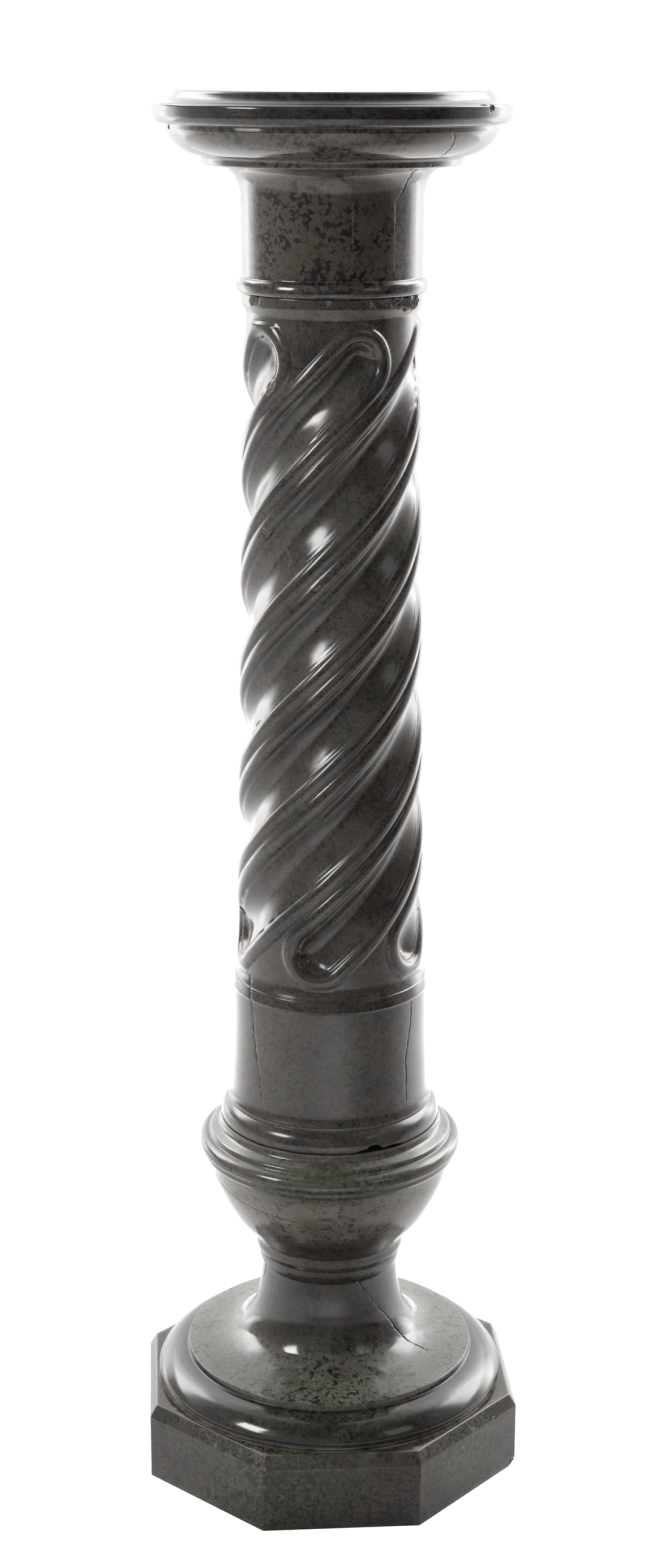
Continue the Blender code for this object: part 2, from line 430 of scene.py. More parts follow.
    def relief(self, graph: Graph, broken: Socket) -> None:
        """Turning lines, slight waves and broken roughness in the bump."""
        turning = graph.noise(1.0, 3.0, 0.7, 0.0, graph.stretched((6.0, 6.0, 900.0)))
        rough = graph.noise(700.0, 4.0, 0.7) * broken.step(0.02, 0.4)
        waves = graph.noise(55.0, 2.0)
        height = turning * (0.00002 * self.lathe) + rough * 0.0012 + waves * 0.00008
        inputs = {"Strength": 0.6, "Distance": 1.0, "Height": height}
        graph.feed("Normal", graph.node("ShaderNodeBump", None, inputs, "Normal"))


# Outlines


@dataclass(frozen=True)
class Turn:
    """One point of a turned outline; ease rounds a corner, and 0 lets the curve run through."""

    radius: float
    height: float
    ease: float = 0.0


def turned(*points: tuple[float, ...]) -> tuple[Turn, ...]:
    """Turns given as radius, height and, where a corner is rounded, ease."""
    return tuple(Turn(*point) for point in points)


def through(points: Sequence[Vector], step: float) -> list[Vector]:
    """A smooth curve through the points, with a straight line where there are only two.

    Args:
        points: the points, first to last.
        step: the longest stretch between two made points.

    Returns:
        The curve's points, without the first one.
    """
    made: list[Vector] = []
    for index in range(len(points) - 1):
        start, end = points[index], points[index + 1]
        before = points[index - 1] if index > 0 else 2 * start - end
        after = points[index + 2] if index + 2 < len(points) else 2 * end - start
        length = (end - start).length
        lead = (end - before) * (length / max((end - start).length + (start - before).length, 1e-9))
        tail = (after - start) * (length / max((end - start).length + (after - end).length, 1e-9))
        steps = max(1, ceil(length / step))
        for number in range(1, steps + 1):
            share = number / steps
            square, cube = share * share, share**3
            made.append(
                start * (2 * cube - 3 * square + 1)
                + lead * (cube - 2 * square + share)
                + end * (3 * square - 2 * cube)
                + tail * (cube - square)
            )
    return made


def eased(points: list[Vector], corner: int, reach: float) -> list[Vector]:
    """Rounds one corner of a path over a reach on either side."""
    start, end = corner, corner
    before = after = 0.0
    while start > 0 and before + (points[start] - points[start - 1]).length < reach:
        before += (points[start] - points[start - 1]).length
        start -= 1
    while end < len(points) - 1 and after + (points[end + 1] - points[end]).length < reach:
        after += (points[end + 1] - points[end]).length
        end += 1
    tip = points[corner]
    first = points[start] if start == 0 else points[start].lerp(
        points[start - 1], (reach - before) / (points[start] - points[start - 1]).length
    )
    last = points[end] if end == len(points) - 1 else points[end].lerp(
        points[end + 1], (reach - after) / (points[end + 1] - points[end]).length
    )
    bend = [first.lerp(tip, share).lerp(tip.lerp(last, share), share) for share in (0, 0.25, 0.5, 0.75, 1)]
    return points[:start] + bend + points[end + 1 :]


def outline(turns: Sequence[Turn], step: float) -> list[Vector]:
    """Dense outline through the turns, with its corners rounded.

    Args:
        turns: the outline from the top down.
        step: the longest stretch between points.

    Returns:
        Points with radius as x and height as y.
    """
    path = [Vector((turns[0].radius, turns[0].height))]
    run = [path[0]]
    corners: list[tuple[int, float]] = []
    for turn in turns[1:]:
        run.append(Vector((turn.radius, turn.height)))
        if turn.ease > 0 or turn is turns[-1]:
            path.extend(through(run, step))
            run = [path[-1]]
            if turn is not turns[-1]:
                corners.append((len(path) - 1, turn.ease))
    for index, reach in reversed(corners):
        path = eased(path, index, reach)
    return path


def spun(path: Sequence[Vector], columns: int) -> bmesh.types.BMesh:
    """A closed body made by spinning an outline whose ends are joined to the axis.

    Args:
        path: radius and height from the top down.
        columns: the steps of the full turn.

    Returns:
        The body, with its faces pointing out.
    """
    mesh = bmesh.new()
    ends = [Vector((0.0, path[0].y))] + list(path) + [Vector((0.0, path[-1].y))]
    verts = [mesh.verts.new((point.x, 0.0, point.y)) for point in ends]
    edges = [mesh.edges.new(pair) for pair in zip(verts, verts[1:])]
    bmesh.ops.spin(
        mesh,
        geom=verts + edges,
        cent=(0.0, 0.0, 0.0),
        axis=(0.0, 0.0, 1.0),
        angle=2 * pi,
        steps=columns,
        use_merge=True,
        use_duplicate=False,
    )
    bmesh.ops.remove_doubles(mesh, verts=mesh.verts, dist=0.000002)
    bmesh.ops.recalc_face_normals(mesh, faces=mesh.faces)
    in_order(mesh)
    return mesh


def refine(mesh: bmesh.types.BMesh, wanted: Callable[[Vector], float], rounds: int = 3) -> None:
    """Cuts edges that are longer than wanted at their middle, some rounds over."""
    for _ in range(rounds):
        chosen = []
        for edge in mesh.edges:
            first, second = edge.verts
            if edge.calc_length() > wanted((first.co + second.co) / 2):
                chosen.append(edge)
        if not chosen:
            break
        bmesh.ops.subdivide_edges(mesh, edges=chosen, cuts=1, use_grid_fill=True)
    in_order(mesh)


# Damage


@dataclass(frozen=True)
class Chip:
    """A broken-out flake: its middle, half sizes round and up, and its depth."""

    azimuth: float
    radius: float
    height: float
    half_width: float
    half_height: float
    depth: float
    slant: float = 0.0
    kind: Break = Break.RAW

    def middle(self) -> Vector:
        """The chip's middle."""
        return polar(self.azimuth, self.radius, self.height)

    def share(self, point: Vector) -> float:
        """How far inside the chip a point lies: 1 at its middle, 0 or less outside.

        Args:
            point: a point on the surface.

        Returns:
            The share, with a ragged edge.
        """
        middle = self.middle()
        offset = point - middle
        turn = radians(self.azimuth)
        across = offset.dot(Vector((cos(turn), sin(turn), 0.0)))
        inward = offset.dot(Vector((sin(turn), -cos(turn), 0.0)))
        up = hypot(offset.z, inward)
        up = up if offset.z >= 0 else -up
        lean = radians(self.slant)
        along = across * cos(lean) + up * sin(lean)
        over = up * cos(lean) - across * sin(lean)
        away = hypot(along / self.half_width, over / self.half_height)
        ragged = noise.fractal(point * 260.0, 0.7, 2.2, 4) * (0.35 if self.kind is Break.RAW else 0.10)
        return 1.0 - away + ragged * min(1.0, away * 1.5)

    def reach(self) -> float:
        """Distance beyond which the chip has no effect."""
        return 1.6 * max(self.half_width, self.half_height)


@dataclass(frozen=True)
class Crack:
    """A fine crack, or a pale scratch, through points given as azimuth, radius and height."""

    points: tuple[tuple[float, float, float], ...]
    width: float = 0.0007
    depth: float = 0.0006
    jitter: float = 0.0012
    kind: Break = Break.DARK

    def path(self, surface: BVHTree) -> list[Vector]:
        """The crack's line on a surface.

        Args:
            surface: the piece's surface.

        Returns:
            Points a third of a millimetre apart.
        """
        made: list[Vector] = []
        for first, second in zip(self.points, self.points[1:]):
            length = (polar(*second) - polar(*first)).length
            steps = max(2, ceil(length / 0.00035))
            for number in range(steps):
                share = number / steps
                azimuth, radius, height = (a + (b - a) * share for a, b in zip(first, second))
                place = polar(azimuth, radius, height)
                away = sway(place * 110.0) + 0.5 * sway(place * 320.0)
                found = surface.find_nearest(place + away * self.jitter)[0]
                if found is not None:
                    made.append(found)
        return made


@dataclass
class Damage:
    """The chips and cracks of one piece."""

    chips: tuple[Chip, ...] = ()
    cracks: tuple[Crack, ...] = ()

    def apply(self, mesh: bmesh.types.BMesh) -> None:
        """Cuts the damage into a mesh and records it on the points."""
        layers = {kind: mesh.verts.layers.float.new(kind.value) for kind in Break}
        self.break_chips(mesh, layers)
        self.open_cracks(mesh, layers)

    def break_chips(self, mesh: bmesh.types.BMesh, layers: dict[Break, Any]) -> None:
        """Breaks out the chips, on a mesh made finer round them."""
        spots = [(chip.middle(), chip.reach()) for chip in self.chips]

        def wanted(place: Vector) -> float:
            """The finest edge that a place needs."""
            for middle, reach in spots:
                if (place - middle).length < reach:
                    return max(0.0006, reach / 16)
            return 1.0

        if self.chips:
            refine(mesh, wanted, 3)
        mesh.normal_update()
        for vert in mesh.verts:
            for chip, (middle, reach) in zip(self.chips, spots):
                if (vert.co - middle).length > reach:
                    continue
                share = chip.share(vert.co)
                if share <= 0:
                    continue
                inward = vert.normal
                sink = chip.depth * min(1.0, share * 2.2)
                if chip.kind is Break.RAW:
                    sink *= 0.8 + 0.45 * noise.fractal(vert.co * 420.0, 0.6, 2.1, 3)
                # Dark chips are sunk straight in as holes, and their near-black colour is painted shade.
                elif chip.kind is Break.DARK:
                    inward = polar(azimuth_of(vert.co), 1.0, 0.0)
                    sink = chip.depth * min(1.0, share * 7)
                else:
                    sink = chip.depth * smooth_step(0.0, 0.8, share)
                vert.co -= inward * max(0.0, sink)
                vert[layers[chip.kind]] = max(vert[layers[chip.kind]], clamp(share * 5))

    def open_cracks(self, mesh: bmesh.types.BMesh, layers: dict[Break, Any]) -> None:
        """Cuts the cracks as fine grooves, on a mesh made finer along them."""
        if not self.cracks:
            return
        surface = BVHTree.FromBMesh(mesh)
        spots = [(point, crack) for crack in self.cracks for point in crack.path(surface)]
        tree = KDTree(len(spots))
        for index, (point, _) in enumerate(spots):
            tree.insert(point, index)
        tree.balance()

        def wanted(place: Vector) -> float:
            """The finest edge that a place needs."""
            _, index, away = tree.find(place)
            width = spots[index][1].width
            return width * 0.55 if away < width * 1.3 else 0.0022 if away < 0.003 else 1.0

        refine(mesh, wanted, 4)
        mesh.normal_update()
        for vert in mesh.verts:
            _, index, away = tree.find(vert.co)
            crack = spots[index][1]
            if away < crack.width:
                share = 1 - away / crack.width
                swell = 0.75 + 0.5 * noise.noise(vert.co * 240.0)
                vert.co -= vert.normal * (crack.depth * share * swell)
                mark = share * (0.5 + swell * 0.5) * (0.5 if crack.kind is Break.RAW else 1.0)
                vert[layers[crack.kind]] = max(vert[layers[crack.kind]], mark)


def show(name: str, mesh: bmesh.types.BMesh, material: bpy.types.Material) -> bpy.types.Object:
    """Turns a finished mesh into a shown piece that stands for its CAD node.

    Args:
        name: the CAD node.
        mesh: the finished body.
        material: its stone.

    Returns:
        The new object.
    """
    for face in mesh.faces:
        face.smooth = True
    data = bpy.data.meshes.new(name + "_stone")
    mesh.to_mesh(data)
    mesh.free()
    data.materials.append(material)
    piece = bpy.data.objects.new(name + "_stone", data)
    bpy.context.scene.collection.objects.link(piece)
    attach(piece, "root")
    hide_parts(name)
    LOG.info("%s: %d triangles", name, sum(len(face.vertices) - 2 for face in data.polygons))
    return piece


# Pieces


@dataclass
class Moulding:
    """A turned block with its outline, columns, stone and damage."""

    name: str
    turns: tuple[Turn, ...]
    stone: Marble
    damage: Damage = field(default_factory=Damage)
    columns: int = 288
    step: float = 0.0012

    def build(self) -> bpy.types.Object:
        """Spins the outline, breaks it and dresses it."""
        mesh = spun(outline(self.turns, self.step), self.columns)
        self.damage.apply(mesh)
        return show(self.name, mesh, self.stone.make())


@dataclass
class Carving:
    """Sizes of the spiral loops, and the carved radius they give."""

    base: float = 0.2940
    loops: int = 5
    lead: float = 0.425
    layout: float = 0.0705
    low: float = 0.1322
    high: float = 0.6420
    crest_low: float = 0.0752
    crest_high: float = 0.0667
    first_groove: float = 0.2005
    groove_azimuth: float = -11.4
    drift: tuple[float, ...] = (0.0, 0.006, 0.002, 0.002, 0.005)
    end_low: float = 0.1605
    end_high: float = 0.6125
    end_turn: float = 3.0
    bead: float = 0.0067
    groove: float = 0.0026
    bead_inner: float = 0.0052
    lip_width: float = 0.0020
    lip_depth: float = 0.0046
    panel_edge: float = 0.0054
    panel: float = 0.0113
    hollow: float = 2.0
    lean: float = 0.0021
    field_depth: float = 0.0025

    def __post_init__(self) -> None:
        """Works out the ribs' pitch and half width."""
        self.pitch = atan2(self.lead, 2 * pi * self.layout)
        self.half = self.lead / self.loops / 2 * cos(self.pitch)

    def groove_height(self, index: int) -> float:
        """Height over the base of the groove between two loops, at the groove azimuth."""
        turns, rib = divmod(index, self.loops)
        return self.first_groove + self.lead * (turns + rib / self.loops) + self.drift[rib]

    def crest(self, height: float) -> float:
        """Radius of the beads' crests."""
        share = (height - self.low) / (self.high - self.low)
        return self.crest_low + (self.crest_high - self.crest_low) * share

    def distance(self, azimuth: float, height: float) -> tuple[float, float]:
        """Distance from the nearest loop's middle line, and how far that is to the lower right, -1 to 1."""
        nearest, side = 1.0, 0.0
        turn = self.end_turn * smooth_step(self.end_high - 0.06, self.end_high, height)
        for loop in range(self.loops):
            low = self.groove_height(loop)
            high = self.groove_height(loop + 1)
            middle = self.groove_azimuth + (height - (low + high) / 2) / self.lead * 360 + turn
            apart = (azimuth - middle + 180) % 360 - 180
            across = radians(apart) * self.layout * sin(self.pitch)
            past_high = max(0.0, (height - self.end_high + across * cos(self.pitch)) / sin(self.pitch))
            past_low = min(0.0, (height - self.end_low + across * cos(self.pitch)) / sin(self.pitch))
            scale = self.half / ((high - low) / 2 * cos(self.pitch))
            away = hypot(across, past_high + past_low)
            if away * scale < nearest:
                nearest, side = away * scale, across / max(away, 1e-6)
        return nearest, side

    def depth(self, distance: float, side: float) -> float:
        """Depth under the crest at a distance from a loop's middle line; the panel leans up to the left."""
        inner = self.half - 2 * self.bead
        panel = inner - self.lip_width
        rise = 0.0006
        outer = self.bead_depth(min(distance, self.half), inner)
        if distance > self.half - rise:
            return outer + (self.field_depth - outer) * smooth_step(self.half - rise, self.half + rise, distance)
        if distance >= inner:
            return outer
        if distance >= panel:
            share = (distance - panel) / self.lip_width
            crown = 4 * share * (1 - share)
            return self.lip_depth + (self.panel_edge - self.lip_depth) * (1 - crown) ** 2 * 1.3
        share = distance / panel
        hollow = (self.panel - self.panel_edge) * (1 - share ** (self.hollow + 3.0 * (1 - side * side)))
        return self.panel_edge + hollow - self.lean * share * side * (1 - share * share)

    def bead_depth(self, distance: float, inner: float) -> float:
        """Depth of the half-round bead, which ends in a quirk on its inner side."""
        share = (distance - self.half + self.bead) / self.bead
        depth = self.groove if share > 0 else self.bead_inner * 1.12
        return depth * (1 - sqrt(max(0.0, 1 - min(1.0, abs(share)) ** 2)))

    def radius(self, azimuth: float, height: float) -> float:
        """Carved radius for an azimuth in degrees and a height over the base."""
        return self.crest(height) - self.depth(*self.distance(azimuth, height))


@dataclass
class Shaft:
    """The spiral shaft: collar, cavetto, loops, ledge, drum and base beads."""

    stone: Marble
    damage: Damage
    carving: Carving = field(default_factory=Carving)
    columns: int = 220
    step: float = 0.0044
    fine_step: float = 0.0017

    def above(self) -> tuple[Turn, ...]:
        """Outline from the top joint to the carved part."""
        return turned(
            (0.0650, 0.9545), (0.0675, 0.9545, 0.0010), (0.0676, 0.9465, 0.0014), (0.0657, 0.9430),
            (0.0643, 0.9395), (0.0642, 0.9360),
        )

    def below(self) -> tuple[Turn, ...]:
        """Outline from the carved part to the bottom joint."""
        return turned(
            (0.0727, 0.4262), (0.0731, 0.4236), (0.0739, 0.4206), (0.0752, 0.4178, 0.0003),
            (0.0754, 0.4171, 0.0002), (0.0763, 0.4163, 0.0006), (0.0782, 0.4085, 0.0005),
            (0.0776, 0.4070, 0.0003), (0.0775, 0.4055, 0.0003), (0.0775, 0.4020), (0.0779, 0.3650),
            (0.0792, 0.3330), (0.0797, 0.3230), (0.0805, 0.3175), (0.0822, 0.3140, 0.0006),
            (0.0824, 0.3120, 0.0006), (0.0818, 0.3104, 0.0004), (0.0832, 0.3092, 0.0005), (0.0855, 0.3068),
            (0.0872, 0.3038), (0.0881, 0.3001), (0.0883, 0.2970), (0.0877, 0.2940),
        )

    def shares(self) -> list[float]:
        """Places of the columns across one loop, close together on the beads."""
        per_loop = self.columns // self.carving.loops
        count = per_loop // 2
        bead = self.carving.bead / self.carving.half
        edge = 2 * bead + self.carving.lip_width / self.carving.half
        on_beads = round(count * 0.62)
        half = [edge / 2 * number / on_beads for number in range(on_beads)]
        inside = count - on_beads
        half += [edge / 2 + (0.5 - edge / 2) * number / inside for number in range(inside)]
        return half + [0.5] + [1 - share for share in reversed(half[1:])]

    def azimuths(self, height: float) -> list[float]:
        """Azimuths of the columns, which follow the ribs."""
        found: list[float] = []
        carving = self.carving
        even = max(
            smooth_step(carving.end_low + 0.040, carving.end_low, height),
            smooth_step(carving.end_high - 0.040, carving.end_high, height),
        )
        shares = self.shares()
        shares = [share + (number / len(shares) - share) * even for number, share in enumerate(shares)]
        for loop in range(carving.loops - 1, -1, -1):
            right = carving.groove_azimuth + (height - carving.groove_height(loop)) / carving.lead * 360
            left = carving.groove_azimuth + (height - carving.groove_height(loop + 1)) / carving.lead * 360
            found.extend(left + (right - left) * share for share in shares)
        return found

    def heights(self) -> Iterator[float]:
        """Heights of the carved rows over the base, closer together at the loops' ends."""
        carving = self.carving
        marks = (carving.high, carving.end_high - 0.040, carving.end_low + 0.040, carving.low)
        for (high, low), step in zip(zip(marks, marks[1:]), (self.fine_step, self.step, self.fine_step)):
            rows = round((high - low) / step)
            for row in range(1, rows + 1):
                if row < rows or low > carving.low:
                    yield high + (low - high) * row / rows

    def build(self) -> bpy.types.Object:
        """Spins the shaft, moves its columns to the ribs and carves it."""
        carving = self.carving
        top = outline(self.above(), 0.0012)
        foot = outline(self.below(), 0.0030)
        middle = [Vector((carving.crest(row), carving.base + row)) for row in self.heights()]
        mesh = spun(top + middle + foot, self.columns)
        carved = (carving.base + carving.low, carving.base + carving.high)
        columns = {}
        for vert in mesh.verts:
            if hypot(vert.co.x, vert.co.y) < 0.001:
                continue
            level = round(clamp(vert.co.z, *carved) - carving.base, 6)
            if level not in columns:
                columns[level] = self.azimuths(level)
            index = round(atan2(vert.co.y, vert.co.x) / (2 * pi) * self.columns) % self.columns
            vert.co = polar(columns[level][index], hypot(vert.co.x, vert.co.y), vert.co.z)
        self.carve(mesh, carved)
        self.refine_ends(mesh, carved)
        bmesh.ops.recalc_face_normals(mesh, faces=mesh.faces)
        self.damage.apply(mesh)
        return show("shaft", mesh, self.stone.make())

    def carve(self, mesh: bmesh.types.BMesh, carved: tuple[float, float]) -> None:
        """Moves every point of the carved part to the carved radius."""
        carving = self.carving
        for vert in mesh.verts:
            if carved[0] + 0.0004 < vert.co.z < carved[1] - 0.0004:
                azimuth = azimuth_of(vert.co)
                vert.co = polar(azimuth, carving.radius(azimuth, vert.co.z - carving.base), vert.co.z)

    def refine_ends(self, mesh: bmesh.types.BMesh, carved: tuple[float, float]) -> None:
        """Cuts the faces finer where the loops' round ends cross the grid."""
        carving = self.carving
        inner = carving.half - 2 * carving.bead - 0.005
        chosen = set()
        for face in mesh.faces:
            middle = face.calc_center_median()
            level = middle.z - carving.base
            if not carving.low + 0.004 < level < carving.high - 0.004:
                continue
            if carving.end_low + 0.012 < level < carving.end_high - 0.012:
                continue
            if inner < carving.distance(azimuth_of(middle), level)[0] < carving.half + 0.0016:
                chosen.update(face.edges)
        edges = sorted(chosen, key=lambda edge: edge.index)
        bmesh.ops.subdivide_edges(mesh, edges=edges, cuts=1, use_grid_fill=True)
        in_order(mesh)
        self.carve(mesh, carved)


@dataclass
class Plinth:
    """Octagonal slab with upright sides and a steep chamfer."""

    stone: Marble
    damage: Damage
    apothem: float = 0.1505
    height: float = 0.0635
    chamfer_in: float = 0.0055
    chamfer_down: float = 0.0100
    arris: float = 0.0007
    cell: float = 0.008
    rows: int = 8

    def build(self) -> bpy.types.Object:
        """Builds the slab, eases its arrises and breaks them."""
        mesh = bmesh.new()
        straight = self.height - self.chamfer_down
        corner = self.apothem / cos(pi / 8)
        bmesh.ops.create_cone(
            mesh,
            cap_ends=True,
            segments=8,
            radius1=corner,
            radius2=corner,
            depth=straight,
            matrix=Matrix.Translation((0, 0, straight / 2)) @ Matrix.Rotation(pi / 8, 4, "Z"),
        )
        top = max(mesh.faces, key=lambda face: face.calc_center_median().z)
        bmesh.ops.inset_region(
            mesh, faces=[top], thickness=self.chamfer_in, depth=self.chamfer_down, use_even_offset=True
        )
        bmesh.ops.bevel(
            mesh,
            geom=list(mesh.edges),
            offset=self.arris,
            offset_type="OFFSET",
            segments=2,
            profile=0.5,
            affect="EDGES",
            material=-1,
        )
        cells = ceil(2 * self.apothem / self.cell)
        axes = (Vector((1, 0, 0)), Vector((0, 1, 0)), Vector((0, 0, 1)))
        cuts = [
            (axis * (self.apothem * (2 * number / cells - 1)), axis) for axis in axes[:2] for number in range(1, cells)
        ]
        cuts += [(axes[2] * (straight * number / self.rows), axes[2]) for number in range(1, self.rows)]
        for place, axis in cuts:
            geom = [*mesh.verts, *mesh.edges, *mesh.faces]
            bmesh.ops.bisect_plane(mesh, geom=geom, plane_co=place, plane_no=axis, dist=0.00001)
        bmesh.ops.remove_doubles(mesh, verts=mesh.verts, dist=0.00002)
        bmesh.ops.recalc_face_normals(mesh, faces=mesh.faces)
        in_order(mesh)
        self.damage.apply(mesh)
        self.wear(mesh)
        return show("plinth", mesh, self.stone.make())

    def wear(self, mesh: bmesh.types.BMesh) -> None:
        """Marks the points near the arrises as worn, here and there."""
        layer = mesh.verts.layers.float.new(WORN)
        mesh.normal_update()
        for vert in mesh.verts:
            turn = max((edge.calc_face_angle(0.0) for edge in vert.link_edges), default=0.0)
            patch = noise.fractal(vert.co * 60.0, 0.6, 2.1, 3)
            vert[layer] = clamp(turn * 1.6) * clamp(0.3 + patch)


class Side(Enum):
    """Which side of the object a light stands on."""

    LEFT = -1
    RIGHT = 1


@dataclass(frozen=True)
class Band:
    """The surround's brightness round the compass, from the camera's azimuth, over a stretch of height.

    It starts taking over from the band below at start, and holds from full; both are sines of elevation.
    """

    start: float
    full: float
    stops: tuple[tuple[float, float], ...]


@dataclass
class Studio:
    """Pale floor that also glows with painted light and painted shade, white surround with two bright windows behind,
    soft lamps and the camera.
    """

    brightest = 12.0

    distance: float = 1.9267
    eye: float = 1.1347
    pitch: float = 16.286
    azimuth: float = -3.9
    aim: float = -0.114
    roll: float = 0.19
    lens: float = 58.53
    floor_radius: float = 2.4
    floor_bright: float = 2.4
    # Floor glow farther out, by azimuth: painted light, brighter behind the column and dimmer in front of it.
    floor_glow: tuple[tuple[float, float], ...] = (
        (-180, 1.8), (-140, 2.2), (-97, 1.1), (-60, 0.8), (-23, 0.65), (-6, 1.0), (12, 1.0), (29, 0.3),
        (41, 0.1), (67, 0.1), (90, 0.8), (110, 1.9), (140, 2.2), (180, 1.8),
    )
    # Floor glow close to the column, low in front of it: painted shade of the column on the floor.
    near_glow_painted_shade: tuple[tuple[float, float], ...] = (
        (-180, 1.0), (-95, 1.0), (-55, 0.6), (-25, 0.1), (25, 0.1), (55, 0.6), (95, 1.0), (180, 1.0),
    )
    bands: tuple[Band, ...] = (
        Band(-1.0, -0.9, ((-180, 1.0), (-172, 1.3), (-161, 1.9), (-153, 2.6), (-144, 3.7), (-140, 4.5), (-133, 5.8),
             (-126, 4.3), (-120, 3.9), (-114, 2.0), (-106, 1.2), (-101, 0.9), (-60, 0.4), (-40, 0.25), (-20, 0.2),
             (12, 0.15), (45, 0.05), (75, 0.05), (88, 0.7), (101, 0.9), (106, 1.2), (114, 2.0), (120, 3.9),
             (126, 4.3), (133, 5.8), (140, 4.5), (144, 3.7), (153, 2.6), (161, 1.9), (172, 1.3), (180, 1.0))),
        Band(0.0, 0.08, ((-180, 2.0), (-165, 2.2), (-150, 3.5), (-140, 4.0), (-132, 3.0), (-126, 1.0), (-115, 0.7),
             (-80, 0.5), (-36, 0.4), (0, 0.45), (12, 0.2), (70, 0.2), (84, 0.4), (100, 0.8), (112, 1.5), (118, 3.5),
             (124, 6.0), (132, 8.0), (140, 6.0), (146, 3.5), (160, 2.3), (180, 2.0))),
        Band(0.29, 0.37, ((-180, 1.5), (-168, 2.2), (-153, 3.5), (-147, 5.0), (-140, 6.0), (-134, 8.5), (-124, 10.0),
             (-117, 9.0), (-113, 4.0), (-109, 1.6), (-96, 0.7), (-66, 0.5), (-36, 0.6), (0, 0.5), (12, 0.15),
             (70, 0.15), (84, 0.5), (96, 0.8), (101, 2.0), (106, 8.0), (114, 10.5), (134, 10.0), (140, 6.8),
             (145, 6.0), (150, 4.5), (160, 3.0), (180, 1.5))),
        Band(0.66, 0.78, ((-180, 0.9), (-165, 2.0), (-150, 3.0), (-120, 2.7), (-108, 1.2), (-96, 0.6), (-70, 0.3),
             (0, 0.15), (70, 0.1), (96, 0.5), (108, 1.5), (120, 3.3), (145, 3.3), (160, 2.0), (180, 0.9))),
        Band(0.80, 0.92, ((-180, 0.9), (-120, 1.1), (-90, 0.5), (0, 0.15), (90, 0.5), (120, 1.1), (180, 0.9))),
    )

    def build(self) -> None:
        """Sets up the whole studio."""
        self.make_camera()
        self.make_floor()
        self.make_world()
        self.make_lamp(Side.LEFT, 57.0, 1.60, 1.40, 12.7, 0.53, 0.45)
        self.make_lamp(Side.RIGHT, 50.0, 1.60, 1.40, 0.8, 0.53, 0.45)
        bpy.context.scene.view_settings.view_transform = "Standard"

    def make_camera(self) -> None:
        """Places the camera at the photograph's angle."""
        data = bpy.data.cameras.new("camera")
        data.lens = self.lens
        data.sensor_width = 36.0
        camera = bpy.data.objects.new("camera", data)
        camera.location = polar(self.azimuth, self.distance, self.eye)
        camera.matrix_world = (
            Matrix.Translation(camera.location)
            @ Matrix.Rotation(radians(self.azimuth + self.aim), 4, "Z")
            @ Matrix.Rotation(radians(90.0 - self.pitch), 4, "X")
            @ Matrix.Rotation(radians(self.roll), 4, "Z")
        )
        bpy.context.scene.collection.objects.link(camera)
        bpy.context.scene.camera = camera

    def make_floor(self) -> None:
        """Pale floor whose glow, seen only in reflections, is painted light round the compass, with painted shade on
        the floor close in front of the column.
        """
        mesh = bmesh.new()
        bmesh.ops.create_circle(mesh, cap_ends=True, segments=96, radius=self.floor_radius)
        data = bpy.data.meshes.new("floor")
        mesh.to_mesh(data)
        mesh.free()
        graph = material_graph("floor_paper_painted_glow")
        graph.shader.inputs["Base Color"].default_value = FLOOR_GREY
        graph.shader.inputs["Roughness"].default_value = 0.8
        # Emission is painted light on the floor, with painted shade near the column's front; the camera itself sees
        # plain white.
        glow = self.compass(graph, self.near_glow_painted_shade).to(
            self.compass(graph, self.floor_glow), graph.radius().step(0.30, 0.80)
        )
        seen = graph.node("ShaderNodeLightPath", output="Is Camera Ray")
        graph.feed("Emission Color", glow.to(1.0, seen) * (1 / self.floor_bright))
        graph.shader.inputs["Emission Strength"].default_value = self.floor_bright
        data.materials.append(graph.owner)
        floor = bpy.data.objects.new("floor", data)
        bpy.context.scene.collection.objects.link(floor)

    def make_world(self) -> None:
        """White surround behind the column and a dim room in front of it."""
        world = bpy.data.worlds.new("surround")
        bpy.context.scene.world = world
        graph = Graph(world, "Background", "Generated")
        height = graph.axis("Z")
        light: Socket | None = None
        for band in self.bands:
            value = self.compass(graph, band.stops)
            light = value if light is None else light.to(value, height.step(band.start, band.full))
        seen = graph.node("ShaderNodeLightPath", output="Is Camera Ray")
        graph.feed("Strength", light.to(1.2, seen))
        graph.shader.inputs["Color"].default_value = (1.0, 1.0, 1.0, 1.0)

    def compass(self, graph: Graph, stops: Sequence[tuple[float, float]]) -> Socket:
        """A value that follows stops of azimuth from the camera's side.

        Args:
            graph: the graph whose place is turned into an azimuth.
            stops: degrees, left below 0, and the value there.

        Returns:
            The value.
        """
        azimuth = graph.axis("X").turn(graph.axis("Y") * -1.0) * (180 / pi) - self.azimuth
        share = (azimuth + 180.0) * (1 / 360)
        places = [((place + 180) / 360, value / self.brightest) for place, value in stops]
        return share.ramp(places) * self.brightest

    def make_lamp(
        self, side: Side, azimuth: float, away: float, height: float, power: float, width: float, tall: float
    ) -> None:
        """A soft lamp that faces the column.

        Args:
            side: which side it stands on.
            azimuth: degrees round from the camera.
            away: distance from the axis.
            height: height over the floor.
            power: its power in watts.
            width: how wide it is.
            tall: how tall it is.
        """
        data = bpy.data.lights.new("lamp_" + side.name.lower(), "AREA")
        data.energy = power
        data.shape = "RECTANGLE"
        data.size = width
        data.size_y = tall
        lamp = bpy.data.objects.new(data.name, data)
        place = polar(self.azimuth + side.value * azimuth, away, height)
        lamp.location = place
        lamp.rotation_euler = (AIM - place).to_track_quat("-Z", "Y").to_euler()
        lamp.visible_camera = False
        bpy.context.scene.collection.objects.link(lamp)


